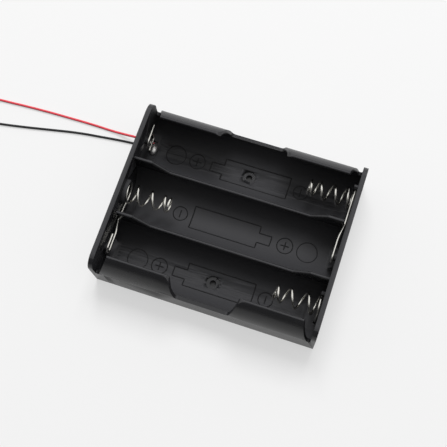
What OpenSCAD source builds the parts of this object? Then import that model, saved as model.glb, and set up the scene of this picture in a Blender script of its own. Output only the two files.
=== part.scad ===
// Open tray for three cylindrical cells side by side, wired in series.
// X runs along the cells, Y across the bays and Z up. The origin is the
// middle of the tray's underside. Bay 0 is the one furthest along +Y.

/* [Cells] */
// Diameter of one cell
cell_d = 18.4; // [18.2:0.1:18.6]
// Length of one cell
cell_l = 65; // [64.5:0.1:65.5]
// Distance between the axes of neighbouring cells
pitch = 19.8; // [19.7:0.1:20.2]

/* [Tray] */
// Length of the tray over its two end walls
tray_l = 77; // [76:0.5:79]
// Height of the end walls
end_wall_h = 19.6; // [19:0.1:21]
// Thickness of the end walls
end_wall_t = 1.6; // [1.4:0.1:1.8]
// Thickness of the moulded walls around the bays
wall = 1.2; // [1:0.1:1.4]
// Height of the cell axes over the underside
axis_z = 11.1; // [11:0.1:11.3]
// Angle over the cell axis to which the side lips curl
lip_angle = 54; // [45:1:58]

/* [Dividers] */
// Height of the long middle stretch of a divider
divider_low = 12.3; // [12:0.1:13]
// Height of a divider beside the end walls
divider_high = 17.5; // [17:0.1:18]

/* [Contacts] */
// Diameter of the spring wire
wire_d = 0.8; // [0.7:0.05:0.9]
// Free length of a negative spring
spring_l = 15.9; // [14:0.1:16.5]

/* [Leads] */
// Outer diameter of a lead
lead_d = 0.9; // [0.8:0.05:1]

/* [Hidden] */
$fn = 48;

trough_r = cell_d / 2 + 0.1;        // radius of a bay's floor
outer_r = trough_r + wall;          // outside of the side lips
half_w = pitch + outer_r;           // half the width of the tray
half_l = tray_l / 2;
inner_x = half_l - end_wall_t;      // inner face of an end wall
divider_t = pitch - 2 * trough_r;   // dividers above the cell axes
eps = 0.01;

low_half = 24.8;        // end of a divider's low stretch
high_half = 30.5;       // start of its high stretch
corner_r = 4.5;         // top corners of the end walls
foot_half = 6.2;        // half width of the flat strip under a bay
gap_low = 1.3;          // gap between a lip and an end wall, at its bottom
gap_high = 3.8;         // the same at the top of the end wall
gap_floor = 10.6;
notch_low = 9;          // half the finger notch at the cell axes
notch_high = 11.9;      // half the finger notch at the lip's edge
notch_low_r = 1.2;
notch_high_r = 2.4;

screw_r = 1.1;
screw_head_r = 2.35;
screw_head_h = 0.5;

wire_r = wire_d / 2;
coil_base_r = 3.7;
coil_tip_r = 2.4;
closed_turns = 0.3;     // last stretch of a spring, flat at its tip
leg_gap = 1.7;          // contact legs above and below the cell axis
leg_x = inner_x - 1.2;  // where a contact leg crosses the cell axis
base_x = inner_x - wire_r - 0.05;
post_y = 1;             // the contact's bend, past the cell axis

boss_front = inner_x - 1.8;
boss_top = 8;
ledge_top = 3.2;
ledge_x = inner_x - 2.7;
pocket_x = inner_x - 4.2;
first_spring_y = pitch;
middle_spring_y = -0.8;
last_spring_y = -pitch + 1.5;
tail_y = last_spring_y - coil_base_r;
tail_z = 1.05;
channel_h = 1.5;
held_z = 1.9;           // height of the held lead in those slits

lead_r = lead_d / 2;
tip_r = 0.25;
tip_l = 4;
coil_r = 6.2;           // outer turn of a coiled lead
coil_in_r = 3.4;
red_exit = [-half_l, 21.6, ledge_top];
black_exit = [-half_l, 20.2, 0.7];
red_coil_at = [-107.5, 21 + coil_r];
black_coil_at = [-100.5, 11.6 - coil_r];

// Routes of the leads from the end wall to their coils
RED_ROUTE = [
    red_exit, [-40.5, 21.6, 3.15], [-42.5, 21.7, 2.85], [-44.5, 21.8, 2.35],
    [-46.5, 21.9, 1.75], [-48.5, 22, 1.2], [-50.5, 22.1, 0.75],
    [-52.5, 22.15, 0.52], [-55, 22.2, 0.45], [-58, 22.3, 0.45],
    [-61, 22.3, 0.45], [-64, 22.3, 0.45], [-67, 22.25, 0.45],
    [-70, 22.2, 0.45], [-73, 22.15, 0.45], [-76, 22.1, 0.45],
    [-79, 22, 0.45], [-82, 21.9, 0.45], [-85, 21.75, 0.45],
    [-88, 21.6, 0.45], [-91, 21.4, 0.45], [-94, 21.25, 0.45],
    [-97, 21.1, 0.45], [-100, 21, 0.45], [-103, 21, 0.45],
    [-105.5, 21, 0.45], [-107.5, 21, 0.45]
];
BLACK_ROUTE = [
    black_exit, [-40.5, 20.15, 0.6], [-42.5, 20.05, 0.5],
    [-45, 19.9, 0.45], [-47.5, 19.7, 0.45], [-50, 19.45, 0.45],
    [-52.5, 19.15, 0.45], [-55, 18.85, 0.45], [-58, 18.5, 0.45],
    [-61, 18.15, 0.45], [-64, 17.7, 0.45], [-67, 17.2, 0.45],
    [-70, 16.6, 0.45], [-73, 16, 0.45], [-76, 15.4, 0.45],
    [-79, 14.8, 0.45], [-82, 14.2, 0.45], [-85, 13.65, 0.45],
    [-88, 13.1, 0.45], [-91, 12.6, 0.45], [-94, 12.15, 0.45],
    [-96.5, 11.8, 0.45], [-98.5, 11.65, 0.45], [-100.5, 11.6, 0.45]
];
// Routes of the stretches that the tray holds
RED_RUN = [
    [-35.4, 20.4, 3.4], [-36.1, 21.1, 3.3], [-36.7, 21.5, ledge_top],
    [-37.2, 21.6, ledge_top], red_exit
];
BLACK_RUN = [
    [34.3, -21, 1], [34.3, -19.5, 0.9], [34.2, -17.5, 0.9],
    [34.1, -14.8, 1], [33.9, -13, 1.2], [32.8, -11.2, 1.6],
    [30.6, -10.2, 1.85], [28, -9.9, 1.9], [21, -9.9, 1.9], [14, -9.9, 1.9], [7, -9.9, 1.9],
    [0, -9.9, 1.9], [-7, -9.9, 1.9], [-14, -9.9, 1.9], [-21, -9.9, 1.9],
    [-27, -9.9, 1.9], [-31, -9.7, 1.8], [-33.8, -8.8, 1.4],
    [-35.2, -7.2, 0.9], [-35.6, -5, 0.75], [-35.6, 0, 0.7],
    [-35.6, 6, 0.7], [-35.6, 12, 0.7], [-35.6, 17, 0.7],
    [-35.9, 19.6, 0.7], [-36.5, 20.15, 0.7], [-37.3, 20.2, 0.7],
    black_exit
];

function bay_y(i) = (1 - i) * pitch;
function unit(v) = v / norm(v);
function smooth(t) = t * t * (3 - 2 * t);
function blend(a, b, t) = a + (b - a) * smooth(t);

// Direction of a path at one of its points
function heading(path, i) =
    unit(path[min(i + 1, len(path) - 1)] - path[max(i - 1, 0)]);

// One sideways direction for each point, carried along without twist
function sideways(path, i = 0, last = [0, 0, 0], found = []) =
    i == len(path) ? found :
    let (
        along = heading(path, i),
        start = abs(along.z) < 0.9 ? cross(along, [0, 0, 1])
                                   : cross(along, [1, 0, 0]),
        side = unit(i == 0 ? start : last - along * (last * along))
    )
    sideways(path, i + 1, side, concat(found, [side]));

// A round bar of radius r that follows a path
module bar(path, r, faces_round = 8) {
    side = sideways(path);
    last = len(path) - 1;
    ring = [for (k = [0 : faces_round - 1]) k];
    points = [
        for (i = [0 : last])
            let (up = cross(heading(path, i), side[i]))
            for (k = ring)
                let (a = 360 * k / faces_round)
                path[i] + r * (cos(a) * side[i] + sin(a) * up)
    ];
    around = [
        for (i = [0 : last - 1])
            for (k = ring)
                let (
                    a = i * faces_round + k,
                    b = i * faces_round + (k + 1) % faces_round
                )
                [a, a + faces_round, b + faces_round, b]
    ];
    near_cap = [for (k = ring) k];
    far_cap = [for (k = ring) last * faces_round + faces_round - 1 - k];
    polyhedron(points, concat([near_cap], around, [far_cap]), convexity = 8);
}

// A conical spring from its tip to the wall; s is the end of the tray
// (1 or -1) and leave is the angle at which the wire leaves the wall.
function spring_path(s, y, leave, turns, steps = 18) = [
    for (i = [round((turns + closed_turns) * steps) : -1 : 0])
        let (
            n = i / steps,
            t = min(n / turns, 1),
            out = inner_x - base_x + (spring_l - wire_d) * smooth(t),
            a = leave - s * 360 * n,
            r = coil_base_r - (coil_base_r - coil_tip_r) * t
        )
        [s * (inner_x - out), y + r * cos(a), axis_z + r * sin(a)]
];

// A stretch along Y that eases from one x and z to another
function leg(from, to, steps = 5) = [
    for (i = [1 : steps])
        let (t = i / steps)
        [blend(from.x, to.x, t), from.y + (to.y - from.y) * t,
         blend(from.z, to.z, t)]
];

// Points of a bend of radius r in a plane across X
function bend(x, y, z, r, from, to, steps = 6) = [
    for (i = [1 : steps])
        let (a = from + (to - from) * i / steps)
        [x, y + r * cos(a), z + r * sin(a)]
];

module along_x(length) {
    rotate([90, 0, 90]) linear_extrude(length, center = true) children();
}

module across_y(width, y = 0) {
    translate([0, y + width / 2, 0]) rotate([90, 0, 0])
        linear_extrude(width) children();
}

// One lip's section; side is 1 or -1
module lip_section(side) {
    mid_r = trough_r + wall / 2;
    translate([side * pitch, axis_z]) scale([side, 1]) {
        intersection() {
            difference() {
                circle(outer_r);
                circle(trough_r);
            }
            polygon([[0, 0], [2 * outer_r, 0],
                     [2 * outer_r, 2 * outer_r * tan(lip_angle)]]);
        }
        translate(mid_r * [cos(lip_angle), sin(lip_angle)])
            circle(wall / 2 - 0.05);
    }
}

// Hollow under a divider or beside an outer bay
module hollow_section(from, to) {
    difference() {
        translate([from, -1]) square([to - from, axis_z]);
        for (i = [0 : 2]) translate([bay_y(i), axis_z]) circle(outer_r);
    }
}

module tray_section() {
    difference() {
        translate([-half_w, 0]) square([2 * half_w, axis_z]);
        for (i = [0 : 2]) translate([bay_y(i), axis_z]) circle(trough_r);
        for (side = [-1, 1]) {
            mid = side * pitch / 2;
            hollow_section(mid - pitch / 2 + foot_half,
                           mid + pitch / 2 - foot_half);
            edge = half_w - wall;
            inner = pitch + foot_half;
            hollow_section(side > 0 ? inner : -edge,
                           side > 0 ? edge : -inner);
        }
    }
    for (side = [-1, 1]) lip_section(side);
}

// Upper part of a divider: low in the middle, high beside the end walls
module divider_top() {
    across_y(divider_t) polygon([
        [-inner_x - eps, axis_z - 0.5], [inner_x + eps, axis_z - 0.5],
        [inner_x + eps, divider_high], [high_half, divider_high],
        [low_half, divider_low], [-low_half, divider_low],
        [-high_half, divider_high], [-inner_x - eps, divider_high]
    ]);
}

module end_wall() {
    along_x(end_wall_t) {
        translate([-half_w, 0]) square([2 * half_w, end_wall_h - corner_r]);
        translate([-half_w + corner_r, 0])
            square([2 * (half_w - corner_r), end_wall_h]);
        for (side = [-1, 1])
            translate([side * (half_w - corner_r), end_wall_h - corner_r])
                circle(corner_r);
    }
}

// Points of an arc of radius r from angle from to angle to
function arc(x, z, r, from, to, steps = 6) = [
    for (i = [0 : steps])
        let (a = from + (to - from) * i / steps)
        [x + r * cos(a), z + r * sin(a)]
];

// Side view of half a finger notch, with its corners rounded
function notch_side() =
    let (
        lip_z = axis_z + outer_r * sin(lip_angle),
        lean = atan2(notch_high - notch_low, lip_z - axis_z),
        low = tan((90 - lean) / 2) * notch_low_r,
        high = tan((90 - lean) / 2) * notch_high_r
    )
    concat(
        arc(notch_low - low, axis_z + notch_low_r, notch_low_r,
            -90, -lean),
        arc(notch_high + high, lip_z - notch_high_r, notch_high_r,
            180 - lean, 90)
    );

// Side view of the gap between a lip and an end wall, at +X
module gap_section() {
    round_r = gap_low / 2;
    polygon([
        [inner_x - gap_low, gap_floor + round_r],
        [inner_x, gap_floor + round_r], [inner_x, end_wall_h + 5],
        [inner_x - gap_high, end_wall_h + 5], [inner_x - gap_high, end_wall_h]
    ]);
    translate([inner_x - round_r, gap_floor + round_r]) circle(round_r);
}

// Openings in both side lips: finger notch and the gaps at the ends
module lip_cuts() {
    lip_y = half_w - 5.5;
    side_line = notch_side();
    last = len(side_line) - 1;
    mirrored = [for (i = [last : -1 : 0]) [-side_line[i].x, side_line[i].y]];
    above = [[side_line[last].x, end_wall_h + 5],
             [-side_line[last].x, end_wall_h + 5]];
    for (side = [-1, 1]) across_y(12, side * (lip_y + 6)) {
        polygon(concat(side_line, above, mirrored));
        gap_section();
        mirror([1, 0]) gap_section();
    }
}

// Screw hole with a flat seat sunk into the bay's floor
module screw_hole() {
    seat_z = axis_z - trough_r - screw_head_h;
    translate([0, 0, -eps]) cylinder(h = axis_z, r = screw_r);
    translate([0, 0, seat_z]) cylinder(h = axis_z, r = screw_head_r);
}

// Ribs that cradle the lower turns of a spring against its wall
module spring_cradle(s, y, from, to) {
    rib_in = coil_base_r + wire_r + 0.1;
    rib_out = rib_in + 1;
    translate([s * inner_x, y, axis_z])
        rotate([0, -90 * s, 0]) rotate([0, 0, s > 0 ? -90 : 90])
            translate([0, 0, -0.2])
                rotate([0, 0, s > 0 ? from - 90 : -to + 90])
                    rotate_extrude(angle = to - from)
                        translate([rib_in, 0]) square([rib_out - rib_in, 1.4]);
}

// Post that the bend of a contact wire goes round
module contact_post(s, i, past) {
    post_r = leg_gap - wire_r - 0.05;
    translate([s * (inner_x + 0.2), bay_y(i) + past, axis_z])
        rotate([0, -90 * s, 0]) cylinder(h = 1.5, r = post_r);
}

// Block that keeps the flat end of a turned cell off the contact
module stop_boss(s, i) {
    width = 6.2;
    low = min(s * boss_front, s * (inner_x + eps));
    translate([low, bay_y(i) - width / 2, 1])
        cube([inner_x + eps - boss_front, width, boss_top - 1]);
}

// Raised floor over a lead channel at the end of a bay
module ledge(s, i, front) {
    reach = 6.5;
    low = min(s * front, s * (inner_x + eps));
    translate([low, bay_y(i) - reach, 0])
        cube([inner_x + eps - front, 2 * reach, ledge_top]);
}

module tray() {
    color("#26272a") difference() {
        union() {
            along_x(2 * inner_x + eps) tray_section();
            for (side = [-1, 1]) {
                translate([side * (half_l - end_wall_t / 2), 0, 0]) end_wall();
                translate([0, side * pitch / 2, 0]) divider_top();
            }
            spring_cradle(1, first_spring_y, 220, 320);
            spring_cradle(-1, middle_spring_y, 290, 400);
            spring_cradle(1, last_spring_y, 240, 320);
            contact_post(-1, 0, -post_y);
            contact_post(1, 1, -post_y);
            contact_post(-1, 2, -post_y);
            stop_boss(1, 1);
            stop_boss(-1, 2);
            ledge(-1, 0, ledge_x);
            ledge(-1, 1, ledge_x);
            ledge(1, 2, pocket_x);
            for (x = [-18, 0, 18]) lead_rib(x);
        }
        lip_cuts();
        for (i = [0, 2]) translate([0, bay_y(i), 0]) screw_hole();
        wire_slots();
        lead_ways();
    }
}

// Ribs across the hollows under the dividers, with slits that grip a lead
module lead_rib(x) {
    rib_t = 1.2;
    slit_r = lead_r + 0.05;
    width = pitch - 2 * foot_half;
    for (side = [-1, 1])
        translate([x, 0, 0]) along_x(rib_t) difference() {
            translate([side * pitch / 2 - width / 2 - eps, 0])
                square([width + 2 * eps, axis_z]);
            for (i = [0 : 2])
                translate([bay_y(i), axis_z]) circle(outer_r - wall / 2);
            translate([side * pitch / 2 - slit_r, -1])
                square([2 * slit_r, held_z + 1]);
            translate([side * pitch / 2, held_z]) circle(slit_r + 0.1);
        }
}

// Slots through the dividers where the link wires cross
module wire_slots() {
    slot = wire_d + 0.2;
    translate([inner_x - slot, pitch / 2 - 2, 12.6]) cube([slot, 4, 8]);
    translate([-inner_x, -pitch / 2 - 2, 8.7]) cube([slot, 4, 12]);
    translate([inner_x - slot, tail_y - 0.6, 1]) cube([slot, 1.2, 6]);
}

// Channel, pocket and holes for the leads
module lead_ways() {
    channel_x = -36.5;
    translate([channel_x, -pitch / 2, -eps])
        cube([1.7, pitch / 2 + 21, channel_h + eps]);
    translate([-half_l - 1, black_exit.y - 0.7, -eps])
        cube([4, 1.4, 1.25]);
    translate([-half_l - 1, red_exit.y, red_exit.z]) rotate([0, 90, 0])
        cylinder(h = 4, r = lead_r + 0.1);
    translate([-inner_x, red_exit.y - 2, ledge_top - 0.6]) cube([2.2, 2.7, 2]);
    translate([pocket_x + 0.6, bay_y(2) - 5.2, -eps])
        cube([inner_x - pocket_x - 0.6, 12, 2]);
}

module positive_contact() {
    y = bay_y(0);
    start = [-leg_x, y + 4.6, axis_z + leg_gap];
    down = y + 3.4;
    foot_z = ledge_top + lead_r + wire_r + 0.15;
    path = concat(
        [start],
        leg(start, [-leg_x, y - post_y, axis_z + leg_gap]),
        bend(-leg_x, y - post_y, axis_z, leg_gap, 90, 270),
        leg([-leg_x, y - post_y, axis_z - leg_gap],
            [-base_x, down - 1, axis_z - leg_gap]),
        bend(-base_x, down - 1, axis_z - leg_gap - 1, 1, 90, 0, 4),
        [[-base_x, down, foot_z + 1]],
        bend(-base_x, down - 1, foot_z + 1, 1, 0, -90, 4),
        [[-base_x, y - 0.2, foot_z], [-base_x, y - 1.8, foot_z]]
    );
    color("#c9c7c0") bar(path, wire_r);
}

module right_link_spring() {
    y = bay_y(1);
    top = axis_z + leg_gap;
    path = concat(
        spring_path(1, first_spring_y, 90, 4.6),
        leg([base_x, first_spring_y, axis_z + coil_base_r], [base_x, 11.4, 13.1]),
        leg([base_x, 11.4, 13.1], [leg_x, y + 4, top]),
        leg([leg_x, y + 4, top], [leg_x, y - post_y, top], 2),
        bend(leg_x, y - post_y, axis_z, leg_gap, 90, 270),
        leg([leg_x, y - post_y, axis_z - leg_gap],
            [leg_x, y + 3.4, axis_z - leg_gap], 2)
    );
    color("#c9c7c0") bar(path, wire_r);
}

module left_link_spring() {
    y = bay_y(2);
    low = axis_z - leg_gap;
    path = concat(
        spring_path(-1, middle_spring_y, 270, 4.3),
        leg([-base_x, middle_spring_y, axis_z - coil_base_r],
            [-base_x, -8.4, low]),
        leg([-base_x, -8.4, low], [-leg_x, y + 4, low]),
        leg([-leg_x, y + 4, low], [-leg_x, y - post_y, low], 2),
        bend(-leg_x, y - post_y, axis_z, leg_gap, 270, 90),
        leg([-leg_x, y - post_y, axis_z + leg_gap],
            [-leg_x, y + 3.4, axis_z + leg_gap], 2)
    );
    color("#c9c7c0") bar(path, wire_r);
}

module negative_spring() {
    turn = 0.9;
    path = concat(
        spring_path(1, last_spring_y, 180, 3.9),
        [[base_x, tail_y, 8], [base_x, tail_y, 5],
         [base_x, tail_y, tail_z + turn]],
        [for (a = [22.5 : 22.5 : 90])
            [base_x - turn + turn * cos(a), tail_y,
             tail_z + turn - turn * sin(a)]],
        [[33.9, tail_y, tail_z]]
    );
    color("#c9c7c0") bar(path, wire_r);
}

// A drop of solder with round ends, lying along Y or X
module solder(length, r) {
    rotate([-90, 0, 0]) {
        translate([0, 0, -length / 2 + r]) sphere(r);
        translate([0, 0, length / 2 - r]) sphere(r);
        cylinder(h = length - 2 * r, r = r, center = true);
    }
}

module positive_solder_joint() {
    color("#d4d4d2") intersection() {
        translate([-35.75, bay_y(0) - 0.5, ledge_top + 0.25]) solder(4.3, 1.15);
        translate([-inner_x, bay_y(0) - 5, ledge_top]) cube([6, 10, 4]);
    }
}

module negative_solder_joint() {
    color("#d4d4d2") difference() {
        translate([34.4, tail_y + 0.75, 1.05]) rotate([0, 0, 90])
            solder(2.2, 0.9, $fn = 96);
        translate([34.4, tail_y, tail_z]) rotate([0, 90, 0])
            cylinder(h = 4, r = wire_r + 0.03, center = true);
    }
}

module red_lead_run() {
    color("#c9302c") bar(RED_RUN, lead_r);
}

module black_lead_run() {
    color("#1c1c1e") bar(BLACK_RUN, lead_r);
}

module red_lead() {
    color("#c9302c") bar(RED_ROUTE, lead_r);
}

module black_lead() {
    color("#1c1c1e") bar(BLACK_ROUTE, lead_r);
}

// Outer shape of a lead wound flat
module lead_coil(at) {
    translate([at.x, at.y, 0]) rotate_extrude()
        translate([coil_in_r, 0]) square([coil_r + lead_r - coil_in_r, lead_d]);
}

module red_lead_coil() {
    color("#c9302c") lead_coil(red_coil_at);
}

module black_lead_coil() {
    color("#1c1c1e") lead_coil(black_coil_at);
}

// Stripped and tinned end of a lead, inside its coil, which it leaves at
// angle a; turn is its direction from there, counted from the radius
module lead_tip(at, a, turn) {
    translate([at.x, at.y, lead_r]) rotate(a) translate([coil_in_r, 0, 0])
        rotate(turn) rotate([0, 90, 0]) cylinder(h = tip_l, r = tip_r);
}

module red_lead_tip() {
    color("#d4d4d2") lead_tip(red_coil_at, 90, -140);
}

module black_lead_tip() {
    color("#d4d4d2") lead_tip(black_coil_at, 0, 140);
}

tray();
positive_contact();
right_link_spring();
left_link_spring();
negative_spring();
positive_solder_joint();
negative_solder_joint();
red_lead_run();
black_lead_run();
red_lead();
black_lead();
red_lead_coil();
black_lead_coil();
red_lead_tip();
black_lead_tip();
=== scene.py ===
import math

import bmesh
import bpy
from mathutils import Matrix, Vector


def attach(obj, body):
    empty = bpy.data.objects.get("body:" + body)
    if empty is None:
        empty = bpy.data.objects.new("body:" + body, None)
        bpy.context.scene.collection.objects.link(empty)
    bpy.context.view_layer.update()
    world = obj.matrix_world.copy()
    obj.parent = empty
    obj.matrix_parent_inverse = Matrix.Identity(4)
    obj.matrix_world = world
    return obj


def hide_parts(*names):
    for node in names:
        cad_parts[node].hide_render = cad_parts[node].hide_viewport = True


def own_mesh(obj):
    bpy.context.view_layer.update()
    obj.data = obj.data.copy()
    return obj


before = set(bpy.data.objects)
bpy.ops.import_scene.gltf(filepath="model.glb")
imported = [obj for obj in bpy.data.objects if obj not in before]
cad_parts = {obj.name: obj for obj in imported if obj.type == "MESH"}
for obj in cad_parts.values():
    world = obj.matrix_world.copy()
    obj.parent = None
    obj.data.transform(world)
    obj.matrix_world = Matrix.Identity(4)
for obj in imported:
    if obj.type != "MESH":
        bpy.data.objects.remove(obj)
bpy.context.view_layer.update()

# Camera. A longer lens held high over the corner that the springs point to,
# turned a little about its own axis, as for a catalogue picture.
mm = 0.001
camera_azimuth = math.radians(24.98)
camera_elevation = math.radians(73.44)
camera_roll = math.radians(-6.81)
camera_distance = 284.5 * mm
camera_target = Vector((0, 0, 10 * mm))
bpy.ops.object.camera_add()
camera = bpy.context.object
camera.name = "camera"
camera.data.lens = 68.46
camera.data.shift_x = -0.0157
camera.data.shift_y = -0.0016
camera.data.clip_start = 10 * mm
turn = (
    Matrix.Rotation(camera_azimuth, 4, "Z")
    @ Matrix.Rotation(math.pi / 2 - camera_elevation, 4, "X")
    @ Matrix.Rotation(camera_roll, 4, "Z")
)
camera.matrix_world = (
    Matrix.Translation(camera_target)
    @ turn
    @ Matrix.Translation((0, 0, camera_distance))
)
bpy.context.scene.camera = camera


# Leads. Two thin stranded wires in soft PVC leave the tray's left end wall,
# drop to the bench and run off to the left, where the rest of each is coiled
# flat with its stripped end inside.
lead_d = 0.9 * mm
coil_outer_turn = 6.2 * mm
coil_tip_start = 3.4 * mm
red_coil = Vector((-107.5, 27.2, 0.45)) * mm
black_coil = Vector((-100.5, 5.4, 0.45)) * mm
red_route = [
    (-38.5, 21.6, 3.2), (-40.5, 21.6, 3.15), (-42.5, 21.7, 2.85), (-44.5, 21.8, 2.35),
    (-46.5, 21.9, 1.75), (-48.5, 22, 1.2), (-50.5, 22.1, 0.75), (-52.5, 22.15, 0.52),
    (-55, 22.2, 0.45), (-58, 22.3, 0.45), (-61, 22.3, 0.45), (-64, 22.3, 0.45),
    (-67, 22.25, 0.45), (-70, 22.2, 0.45), (-73, 22.15, 0.45), (-76, 22.1, 0.45),
    (-79, 22, 0.45), (-82, 21.9, 0.45), (-85, 21.75, 0.45), (-88, 21.6, 0.45),
    (-91, 21.4, 0.45), (-94, 21.25, 0.45), (-97, 21.1, 0.45), (-100, 21, 0.45),
    (-103, 21, 0.45), (-105.5, 21, 0.45),
]
black_route = [
    (-38.5, 20.2, 0.7), (-40.5, 20.15, 0.6), (-42.5, 20.05, 0.5), (-45, 19.9, 0.45),
    (-47.5, 19.7, 0.45), (-50, 19.45, 0.45), (-52.5, 19.15, 0.45), (-55, 18.85, 0.45),
    (-58, 18.5, 0.45), (-61, 18.15, 0.45), (-64, 17.7, 0.45), (-67, 17.2, 0.45),
    (-70, 16.6, 0.45), (-73, 16, 0.45), (-76, 15.4, 0.45), (-79, 14.8, 0.45),
    (-82, 14.2, 0.45), (-85, 13.65, 0.45), (-88, 13.1, 0.45), (-91, 12.6, 0.45),
    (-94, 12.15, 0.45), (-96.5, 11.8, 0.45), (-98.5, 11.65, 0.45),
]


def linear(hex_colour):
    """A hex sRGB colour as the linear RGBA that a socket takes."""
    parts = [int(hex_colour[i : i + 2], 16) / 255 for i in (1, 3, 5)]
    return [p / 12.92 if p <= 0.04045 else ((p + 0.055) / 1.055) ** 2.4 for p in parts] + [1]


def node(tree, kind, settings=(), links=(), **values):
    """Adds a node; settings are its properties, links its inputs' sources and values its inputs."""
    made = tree.nodes.new(kind)
    for name, value in dict(settings).items():
        setattr(made, name, value)
    for name, value in values.items():
        made.inputs[name.replace("_", " ")].default_value = value
    for name, source in dict(links).items():
        tree.links.new(source, made.inputs[name])
    return made


def material(name):
    """An empty material, its tree, its shader and the Object coordinates."""
    made = bpy.data.materials.new(name)
    made.use_nodes = True
    tree = made.node_tree
    place = node(tree, "ShaderNodeTexCoord").outputs["Object"]
    return made, tree, tree.nodes["Principled BSDF"], place


def pvc(name, colour, deep_colour):
    """Extruded PVC: satin, with a faint unevenness along the lead and a fine grain on its skin."""
    made, tree, shader, place = material(name)
    cloudy = node(tree, "ShaderNodeTexNoise", links={"Vector": place}, Scale=350.0, Detail=3.0)
    tint = node(
        tree,
        "ShaderNodeMix",
        settings={"data_type": "RGBA"},
        links={"Factor": cloudy.outputs["Fac"]},
    )
    tint.inputs[6].default_value = linear(deep_colour)
    tint.inputs[7].default_value = linear(colour)
    tree.links.new(tint.outputs[2], shader.inputs["Base Color"])
    shader.inputs["Roughness"].default_value = 0.42
    shader.inputs["IOR"].default_value = 1.53
    grain = node(tree, "ShaderNodeTexNoise", links={"Vector": place}, Scale=2500.0, Detail=2.0)
    bump = node(
        tree,
        "ShaderNodeBump",
        links={"Height": grain.outputs["Fac"]},
        Strength=0.15,
        Distance=0.02 * mm,
    )
    tree.links.new(bump.outputs["Normal"], shader.inputs["Normal"])
    return made


def wound_in(centre, start, way, turns):
    """A flat coil's points, from its outer turn inwards; start is an angle, way 1 or -1."""
    points = []
    steps = int(turns * 20)
    for i in range(steps + 1):
        angle = start + way * 2 * math.pi * i / 20
        radius = coil_outer_turn - lead_d * i / 20
        points.append(centre + radius * Vector((math.cos(angle), math.sin(angle), 0)))
    return points


def round_wire(name, points, radius, finish, sides=12):
    """A round wire along points, as a curve of one open spline."""
    bpy.ops.curve.primitive_nurbs_path_add()
    wire = bpy.context.object
    wire.name = name
    wire.data.splines.clear()
    spline = wire.data.splines.new("POLY")
    spline.points.add(len(points) - 1)
    for place, point in zip(spline.points, points):
        place.co = (*point, 1)
    wire.data.bevel_depth = radius
    wire.data.bevel_resolution = sides // 4
    wire.data.use_fill_caps = True
    spline.use_smooth = True
    wire.data.materials.append(finish)
    return wire


def smoothed(points, rounds=2):
    """The points of a path with its corners cut, its ends kept."""
    for _ in range(rounds):
        cut = [points[0]]
        for a, b in zip(points, points[1:]):
            cut += [a.lerp(b, 0.25), a.lerp(b, 0.75)]
        points = cut + [points[-1]]
    return points


red_pvc = pvc("red_pvc_insulation", "#d24650", "#bc3540")
black_pvc = pvc("black_pvc_insulation", "#1d1d1f", "#161617")


def tinned_copper():
    """Tinned copper strands: pale metal, softly shiny, with the strands' twist as fine grooves."""
    made, tree, shader, place = material("tinned_copper_strands")
    shader.inputs["Base Color"].default_value = linear("#cfcdc6")
    shader.inputs["Metallic"].default_value = 1.0
    shader.inputs["Roughness"].default_value = 0.32
    strands = node(
        tree,
        "ShaderNodeTexWave",
        settings={"bands_direction": "DIAGONAL"},
        links={"Vector": place},
        Scale=900.0,
    )
    bump = node(
        tree,
        "ShaderNodeBump",
        links={"Height": strands.outputs["Fac"]},
        Strength=0.4,
        Distance=0.03 * mm,
    )
    tree.links.new(bump.outputs["Normal"], shader.inputs["Normal"])
    return made


strands_finish = tinned_copper()
tip_d = 0.5 * mm
tip_l = 4 * mm
for colour, route, centre, start, way, turns, finish in (
    ("red", red_route, red_coil, -math.pi / 2, -1, 2.5, red_pvc),
    ("black", black_route, black_coil, math.pi / 2, 1, 2.75, black_pvc),
):
    straight = [Vector(point) * mm for point in route]
    coil = wound_in(centre, start, way, turns)
    end_angle = start + way * 2 * math.pi * turns
    tip_at = centre + coil_tip_start * Vector((math.cos(end_angle), math.sin(end_angle), 0))
    heading_angle = end_angle + way * math.radians(140)
    heading = Vector((math.cos(heading_angle), math.sin(heading_angle), 0))
    path = straight + coil[:-2] + [tip_at]
    path = smoothed(path, 1)
    lead = round_wire(colour + "_lead_wire", path, lead_d / 2, finish)
    strands = [tip_at + heading * tip_l * i / 6 for i in range(7)]
    tip = round_wire(colour + "_lead_strands", strands, tip_d / 2, strands_finish)
    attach(lead, "tray")
    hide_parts(colour + "_lead", colour + "_lead_coil")
    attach(tip, "tray")
    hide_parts(colour + "_lead_tip")


# Tray. One injection moulding in black ABS: three troughs, end walls, two
# dividers and the side lips that a cell snaps under. Its edges are softened
# by the tool's wear and its faces carry a fine satin grain.
axis_z = 11.1 * mm
trough_r = 9.3 * mm
pitch = 19.8 * mm


def black_abs(name, colour, smoothest, roughest, grain_depth):
    """Moulded ABS, black, with a slightly uneven sheen and the grain of the tool's faces."""
    made, tree, shader, place = material(name)
    shader.inputs["Base Color"].default_value = linear(colour)
    patchy = node(tree, "ShaderNodeTexNoise", links={"Vector": place}, Scale=120.0, Detail=4.0)
    sheen = node(
        tree,
        "ShaderNodeMapRange",
        links={"Value": patchy.outputs["Fac"]},
        To_Min=smoothest,
        To_Max=roughest,
    )
    tree.links.new(sheen.outputs["Result"], shader.inputs["Roughness"])
    grain = node(tree, "ShaderNodeTexNoise", links={"Vector": place}, Scale=1600.0, Detail=3.0)
    bump = node(
        tree,
        "ShaderNodeBump",
        links={"Height": grain.outputs["Fac"]},
        Strength=0.25,
        Distance=grain_depth,
    )
    tree.links.new(bump.outputs["Normal"], shader.inputs["Normal"])
    return made
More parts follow.
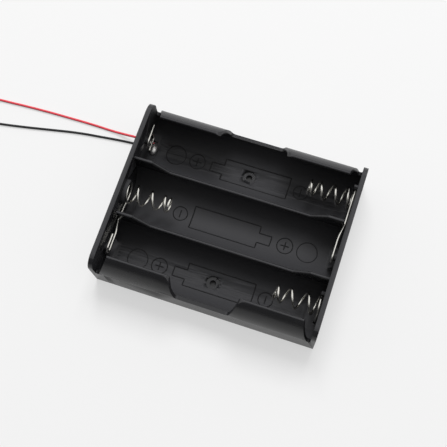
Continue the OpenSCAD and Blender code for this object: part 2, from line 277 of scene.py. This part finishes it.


# Outside the tool is polished, so the lips and walls shine softly. The bays
# and the top edges are sparked: greyer, rough and grained. The thin marks are
# painted a blacker black than the floor: painted shade that stands in for the
# shadow beside a real line, which is too fine to show.
polished_abs = black_abs("polished_black_abs", "#1e1e20", 0.2, 0.32, 0.02 * mm)
sparked_abs = black_abs("sparked_black_abs", "#2e2e30", 0.5, 0.62, 0.06 * mm)
painted_shade_abs = black_abs("painted_shade_black_abs", "#0c0c0d", 0.55, 0.68, 0.03 * mm)
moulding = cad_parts["tray"].copy()
moulding.data = moulding.data.copy()
moulding.name = "tray_moulding"
moulding.parent = None
bpy.context.collection.objects.link(moulding)
bpy.ops.object.select_all(action="DESELECT")
moulding.select_set(True)
bpy.context.view_layer.objects.active = moulding
bpy.ops.object.mode_set(mode="EDIT")
bpy.ops.mesh.select_all(action="SELECT")
bpy.ops.mesh.remove_doubles(threshold=0.002 * mm)
bpy.ops.mesh.dissolve_limited(angle_limit=math.radians(0.5))
bpy.ops.mesh.select_mode(type="EDGE")
half_divider = 0.62 * mm
divider_end = 37.2 * mm
divider_rounding = 0.55 * mm
edge_softening = 0.3 * mm


def on_divider(edge):
    """True for the long upper edges of the dividers."""
    along = edge.verts[0].co - edge.verts[1].co
    return abs(along.y) < 0.1 * abs(along.x) and all(
        abs(abs(vert.co.y) - pitch / 2) < half_divider and abs(vert.co.x) < divider_end
        for vert in edge.verts
    )


for offset, segments, low_z, chosen in (
    (divider_rounding, 4, 12.2 * mm, on_divider),
    (edge_softening, 3, 12.6 * mm, lambda edge: not on_divider(edge)),
):
    bpy.ops.mesh.select_all(action="DESELECT")
    edit = bmesh.from_edit_mesh(moulding.data)
    for edge in edit.edges:
        sharp = edge.calc_face_angle(0) > math.radians(40) and edge.is_convex
        if sharp and min(vert.co.z for vert in edge.verts) > low_z and chosen(edge):
            edge.select_set(True)
    bmesh.update_edit_mesh(moulding.data)
    bpy.ops.mesh.bevel(offset=offset, segments=segments, clamp_overlap=True)

# Cuts across the long faces, so that they are shaded evenly.
for x in (-34, -31, -16, -8, -3.2, 3.2, 8, 16, 31, 34):
    bpy.ops.mesh.select_all(action="SELECT")
    bpy.ops.mesh.bisect(plane_co=(x * mm, 0, 0), plane_no=(1, 0, 0))
bpy.ops.object.mode_set(mode="OBJECT")
bpy.ops.object.shade_smooth_by_angle(angle=math.radians(35))
moulding.data.materials.clear()
moulding.data.materials.append(polished_abs)
moulding.data.materials.append(sparked_abs)
for face in moulding.data.polygons:
    x, y, z = face.center
    from_axis = min(math.hypot(y - bay_y, z - axis_z) for bay_y in (-pitch, 0, pitch))
    in_bay = from_axis < trough_r + 0.05 * mm and abs(x) < 36.95 * mm
    on_top = face.normal.z > 0.9 and z > axis_z
    face.material_index = 1 if in_bay or on_top else 0
for key in list(moulding.keys()):
    del moulding[key]
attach(moulding, "tray")
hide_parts("tray")


# Marks on the floors of the bays. They are cut in the tool, so they stand up
# from the plastic as thin half-round lines: the outline of a cell, a circled
# sign at each of its ends, and the round witness of an ejector pin.
def on_floor(x, y, bay_y):
    """A point just under a bay's floor, at x, y from the bay's middle."""
    return Vector((x, bay_y + y, axis_z - math.sqrt(trough_r**2 - y**2) - 0.1 * mm))


def floor_path(corners, bay_y, closed=True):
    """Points every half millimetre along straight lines over the floor."""
    ends = corners[1:] + corners[:1] if closed else corners[1:]
    points = []
    for (x0, y0), (x1, y1) in zip(corners, ends):
        steps = max(1, round(math.hypot(x1 - x0, y1 - y0) / 0.5))
        for i in range(steps):
            t = i / steps
            points.append(on_floor((x0 + (x1 - x0) * t) * mm, (y0 + (y1 - y0) * t) * mm, bay_y))
    points.append(on_floor(ends[-1][0] * mm, ends[-1][1] * mm, bay_y))
    return points


def ring(x, radius, count=48):
    turn_by = 2 * math.pi / count
    angles = [i * turn_by for i in range(count)]
    return [(x + radius * math.cos(angle), radius * math.sin(angle)) for angle in angles]


def floor_marks(bay_y, way):
    """All marks of one bay; way is 1 where the positive end is at +X."""
    near_half = [(-14.2, -4), (9.6, -4), (9.6, -1.7), (14.1, -1.7)]
    outline = near_half + [(x, -y) for x, y in reversed(near_half)]
    plus, minus, pin = way * 19.2, -way * 18.6, way * 27.1
    lines = [
        (floor_path([(way * x, y) for x, y in outline], bay_y), 0.24),
        (floor_path(ring(plus, 2.75), bay_y), 0.23),
        (floor_path([(plus - 1.5, 0), (plus + 1.5, 0)], bay_y, False), 0.25),
        (floor_path([(plus, -1.5), (plus, 1.5)], bay_y, False), 0.25),
        (floor_path(ring(minus, 2.5), bay_y), 0.23),
        (floor_path([(minus, -1.4), (minus, 1.4)], bay_y, False), 0.25),
        (floor_path(ring(pin, 3.5), bay_y), 0.2),
    ]
    # The lines are painted in the blacker finish: painted shade for the fine shadow beside them.
    made = [
        round_wire("floor_line", points, radius * mm, painted_shade_abs, sides=8) for points, radius in lines
    ]
    bpy.ops.object.select_all(action="DESELECT")
    for line in made:
        line.select_set(True)
    bpy.context.view_layer.objects.active = made[0]
    bpy.ops.object.convert(target="MESH")
    bpy.ops.object.join()
    return bpy.context.object


for name, bay_y, way in (("far", pitch, -1), ("middle", 0, 1), ("near", -pitch, -1)):
    marks = floor_marks(bay_y, way)
    marks.name = name + "_bay_marks"
    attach(marks, "tray")


# Spring contacts. Nickel-plated spring wire: a conical coil that presses on
# a cell's negative end, and on from its base the link to the next bay's
# positive end, which goes round a moulded post as a hairpin.
inner_x = 36.9 * mm
wire_r = 0.4 * mm
base_x = inner_x - wire_r - 0.05 * mm
leg_x = inner_x - 1.2 * mm
leg_gap = 1.7 * mm
post_y = 1 * mm
spring_l = 15.9 * mm
coil_base_r = 3.7 * mm
coil_tip_r = 2.4 * mm
closed_turns = 0.3


def nickel():
    """Nickel-plated spring wire: bright, faintly warm, with drawing lines too fine to see."""
    made, tree, shader, place = material("nickel_plated_wire")
    shader.inputs["Base Color"].default_value = linear("#f3f1ea")
    shader.inputs["Metallic"].default_value = 1.0
    streaks = node(tree, "ShaderNodeTexNoise", links={"Vector": place}, Scale=900.0, Detail=3.0)
    wear = node(
        tree,
        "ShaderNodeMapRange",
        links={"Value": streaks.outputs["Fac"]},
        To_Min=0.1,
        To_Max=0.24,
    )
    tree.links.new(wear.outputs["Result"], shader.inputs["Roughness"])
    return made


nickel_finish = nickel()


def eased(t):
    return t * t * (3 - 2 * t)


def spring_points(end, y, leave, turns, steps=24):
    """A conical coil from its tip to the end wall; end is 1 or -1."""
    points = []
    for i in range(round((turns + closed_turns) * steps), -1, -1):
        n = i / steps
        t = min(n / turns, 1)
        out = inner_x - base_x + (spring_l - 2 * wire_r) * eased(t)
        angle = math.radians(leave - end * 360 * n)
        radius = coil_base_r - (coil_base_r - coil_tip_r) * t
        around = (y + radius * math.cos(angle), axis_z + radius * math.sin(angle))
        points.append(Vector((end * (inner_x - out), *around)))
    return points


def leg(start, stop, steps=8):
    """Points after start on a stretch along Y that eases from one x and z to another."""
    found = []
    for i in range(1, steps + 1):
        t = i / steps
        found.append(
            Vector(
                (
                    start[0] + (stop[0] - start[0]) * eased(t),
                    start[1] + (stop[1] - start[1]) * t,
                    start[2] + (stop[2] - start[2]) * eased(t),
                )
            )
        )
    return found


def bend(x, y, z, radius, start, stop, steps=10):
    """Points of a bend in a plane across X."""
    found = []
    for i in range(1, steps + 1):
        angle = math.radians(start + (stop - start) * i / steps)
        found.append(Vector((x, y + radius * math.cos(angle), z + radius * math.sin(angle))))
    return found


def spring_wire(name, points, joint=None):
    """The wire as a mesh, given a mesh of its own if it has a joint."""
    wire = round_wire(name, points, wire_r, nickel_finish, sides=16)
    bpy.ops.object.select_all(action="DESELECT")
    wire.select_set(True)
    bpy.context.view_layer.objects.active = wire
    bpy.ops.object.convert(target="MESH")
    wire = bpy.context.object
    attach(wire, "tray")
    if joint:
        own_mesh(wire)
    return wire


top = axis_z + leg_gap
low = axis_z - leg_gap
first_y, middle_y, last_y = pitch, -0.8 * mm, -pitch + 1.5 * mm
right_link = (
    spring_points(1, first_y, 90, 4.6)
    + leg((base_x, first_y, axis_z + coil_base_r), (base_x, 11.4 * mm, 13.1 * mm))
    + leg((base_x, 11.4 * mm, 13.1 * mm), (leg_x, 4 * mm, top))
    + leg((leg_x, 4 * mm, top), (leg_x, -post_y, top), 3)
    + bend(leg_x, -post_y, axis_z, leg_gap, 90, 270)
    + leg((leg_x, -post_y, low), (leg_x, 3.4 * mm, low), 3)
)
wire = spring_wire("right_link_wire", right_link, "right_link_spring_press")
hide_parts("right_link_spring")

left_link = (
    spring_points(-1, middle_y, 270, 4.3)
    + leg((-base_x, middle_y, axis_z - coil_base_r), (-base_x, -9.3 * mm, low))
    + leg((-base_x, -9.3 * mm, low), (-leg_x, -pitch + 4 * mm, low))
    + leg((-leg_x, -pitch + 4 * mm, low), (-leg_x, -pitch - post_y, low), 3)
    + bend(-leg_x, -pitch - post_y, axis_z, leg_gap, 270, 90)
    + leg((-leg_x, -pitch - post_y, top), (-leg_x, -pitch + 3.4 * mm, top), 3)
)
wire = spring_wire("left_link_wire", left_link, "left_link_spring_press")
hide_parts("left_link_spring")

tail_y = last_y - coil_base_r
tail_z = 1.05 * mm
tail_bend = 0.9 * mm
negative = (
    spring_points(1, last_y, 180, 3.9)
    + [Vector((base_x, tail_y, z * mm)) for z in (9, 7, 5, 3)]
    + [
        Vector(
            (
                base_x - tail_bend + tail_bend * math.cos(math.radians(a)),
                tail_y,
                tail_z + tail_bend - tail_bend * math.sin(math.radians(a)),
            )
        )
        for a in range(0, 91, 15)
    ]
    + [Vector((33.9 * mm, tail_y, tail_z))]
)
wire = spring_wire("negative_spring_wire", negative, "negative_spring_press")
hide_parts("negative_spring")


# Positive contact. The same wire in the first bay, bent round its post and
# down to the floor ledge, where it is soldered to the red lead.
ledge_top = 3.2 * mm
foot_z = ledge_top + lead_d / 2 + wire_r + 0.15 * mm
down = pitch + 3.4 * mm
contact = (
    [Vector((-leg_x, pitch + 4.6 * mm, top))]
    + leg((-leg_x, pitch + 4.6 * mm, top), (-leg_x, pitch - post_y, top))
    + bend(-leg_x, pitch - post_y, axis_z, leg_gap, 90, 270)
    + leg((-leg_x, pitch - post_y, low), (-base_x, down - 1 * mm, low))
    + bend(-base_x, down - 1 * mm, low - 1 * mm, 1 * mm, 90, 0, 6)
    + [Vector((-base_x, down, z * mm)) for z in (7.4, 6.4, 5.4)]
    + bend(-base_x, down - 1 * mm, foot_z + 1 * mm, 1 * mm, 0, -90, 6)
    + [Vector((-base_x, pitch - 0.2 * mm, foot_z)), Vector((-base_x, pitch - 1.8 * mm, foot_z))]
)
wire = spring_wire("positive_contact_wire", contact)
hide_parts("positive_contact")


def solder_metal():
    """Tin solder: bright and smooth, with a slightly wrinkled skin."""
    made, tree, shader, place = material("tin_solder")
    shader.inputs["Base Color"].default_value = linear("#f2f0ee")
    shader.inputs["Metallic"].default_value = 1.0
    shader.inputs["Roughness"].default_value = 0.38
    skin = node(tree, "ShaderNodeTexNoise", links={"Vector": place}, Scale=700.0, Detail=2.0)
    bump = node(
        tree,
        "ShaderNodeBump",
        links={"Height": skin.outputs["Fac"]},
        Strength=0.5,
        Distance=0.08 * mm,
    )
    tree.links.new(bump.outputs["Normal"], shader.inputs["Normal"])
    return made


solder_finish = solder_metal()
bpy.ops.object.select_all(action="DESELECT")
bpy.ops.mesh.primitive_uv_sphere_add(
    segments=40,
    ring_count=20,
    radius=1 * mm,
    location=(-35.2 * mm, pitch - 0.7 * mm, ledge_top + 0.5 * mm),
)
lump = bpy.context.object
lump.name = "positive_solder_lump"
bpy.ops.object.mode_set(mode="EDIT")
bpy.ops.transform.resize(value=(1.3, 2.2, 1.15))
bpy.ops.transform.vertex_random(offset=0.05 * mm, seed=3)
bpy.ops.mesh.vertices_smooth(factor=0.5, repeat=2)
bpy.ops.mesh.select_all(action="SELECT")
bpy.ops.mesh.bisect(
    plane_co=(0, 0, ledge_top - 0.1 * mm), plane_no=(0, 0, 1), use_fill=True, clear_inner=True
)
bpy.ops.object.mode_set(mode="OBJECT")
bpy.ops.object.transform_apply(location=True, rotation=True, scale=True)
bpy.ops.object.shade_smooth_by_angle(angle=math.radians(50))
lump.data.materials.append(solder_finish)
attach(lump, "tray")
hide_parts("positive_solder_joint")


# Solder and leads under the tray. The last spring's tail is soldered to the
# black lead, which runs to the left end in ribs; the red lead's end meets
# the lump on the ledge.
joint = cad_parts["negative_solder_joint"]
joint.data.materials.clear()
joint.data.materials.append(solder_finish)
for name, finish in (("red_lead_run", red_pvc), ("black_lead_run", black_pvc)):
    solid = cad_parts[name]
    solid.data.materials.clear()
    solid.data.materials.append(finish)


# Table and light. A wide white table in a pale room: the far side of the room
# is bright down to the table, the near side is dim, and one large soft lamp
# stands beyond the tray.
def beside_tray(tree, place):
    """1 on the table round the tray and 0 under it, where the table is painted in shade."""
    parts = node(tree, "ShaderNodeSeparateXYZ", links={0: place})
    outside = []
    for axis, half in (("X", 0.0375), ("Y", 0.0293)):
        size = node(
            tree,
            "ShaderNodeMath",
            settings={"operation": "ABSOLUTE"},
            links={0: parts.outputs[axis]},
        )
        past = node(
            tree,
            "ShaderNodeMath",
            settings={"operation": "GREATER_THAN"},
            links={0: size.outputs["Value"]},
        )
        past.inputs[1].default_value = half
        outside.append(past.outputs["Value"])
    either = node(
        tree,
        "ShaderNodeMath",
        settings={"operation": "MAXIMUM"},
        links={0: outside[0], 1: outside[1]},
    )
    return either.outputs["Value"]


def white_table():
    """A matt white sheet. What the eye sees of it directly is lifted to the white of a cut-out,
    and what shows of it in reflections is lifted less. Under the tray its colour is painted
    a darker grey and it is not lifted: painted shade beneath the tray.
    """
    made, tree, shader, place = material("white_table_sheet")
    shader.inputs["Roughness"].default_value = 0.9
    shader.inputs["Specular IOR Level"].default_value = 0.1
    shader.inputs["Emission Color"].default_value = (1, 1, 1, 1)
    seen = node(tree, "ShaderNodeLightPath").outputs
    mirrored = node(
        tree,
        "ShaderNodeMath",
        settings={"operation": "MULTIPLY"},
        links={0: seen["Is Glossy Ray"]},
    )
    mirrored.inputs[1].default_value = 0.36
    lift = node(
        tree,
        "ShaderNodeMath",
        settings={"operation": "MULTIPLY_ADD"},
        links={0: seen["Is Camera Ray"], 2: mirrored.outputs["Value"]},
    )
    lift.inputs[1].default_value = 0.56
    beside = beside_tray(tree, place)
    # Painted shade: under the tray the sheet is coloured a darker grey than beside it.
    shade = node(tree, "ShaderNodeMix", settings={"data_type": "RGBA"}, links={"Factor": beside})
    shade.inputs[6].default_value = linear("#3c3c3c")
    shade.inputs[7].default_value = linear("#868686")
    tree.links.new(shade.outputs[2], shader.inputs["Base Color"])
    # No lift under the tray, so that the painted shade there stays dark.
    masked = node(
        tree,
        "ShaderNodeMath",
        settings={"operation": "MULTIPLY"},
        links={0: lift.outputs["Value"], 1: beside},
    )
    tree.links.new(masked.outputs["Value"], shader.inputs["Emission Strength"])
    return made


bpy.ops.mesh.primitive_plane_add(size=6)
table = bpy.context.object
table.name = "white_table_top"
table.data.materials.append(white_table())

world = bpy.data.worlds.new("pale_room")
bpy.context.scene.world = world
world.use_nodes = True
room = world.node_tree
sky_place = node(room, "ShaderNodeTexCoord").outputs["Generated"]
direction = node(room, "ShaderNodeSeparateXYZ", links={0: sky_place})
side = node(
    room,
    "ShaderNodeMapRange",
    settings={"interpolation_type": "SMOOTHSTEP"},
    links={"Value": direction.outputs["Y"]},
    From_Min=-0.5,
    From_Max=0.05,
    To_Min=0.12,
    To_Max=0.86,
)
camera_ray = node(room, "ShaderNodeLightPath").outputs["Is Camera Ray"]
looked_at = node(
    room,
    "ShaderNodeMath",
    settings={"operation": "MAXIMUM"},
    links={0: side.outputs["Result"], 1: camera_ray},
)
room.links.new(looked_at.outputs["Value"], room.nodes["Background"].inputs["Strength"])
room.nodes["Background"].inputs["Color"].default_value = (1, 1, 1, 1)

lamp_from = Vector((-0.1, 0.58, 0.93))
bpy.ops.object.light_add(type="AREA", location=lamp_from)
lamp = bpy.context.object
lamp.name = "soft_lamp"
lamp.data.size = 0.5
lamp.data.energy = 13.6
lamp.visible_glossy = False
lamp.rotation_euler = (-lamp_from).to_track_quat("-Z", "Y").to_euler()
bpy.context.scene.view_settings.view_transform = "Standard"
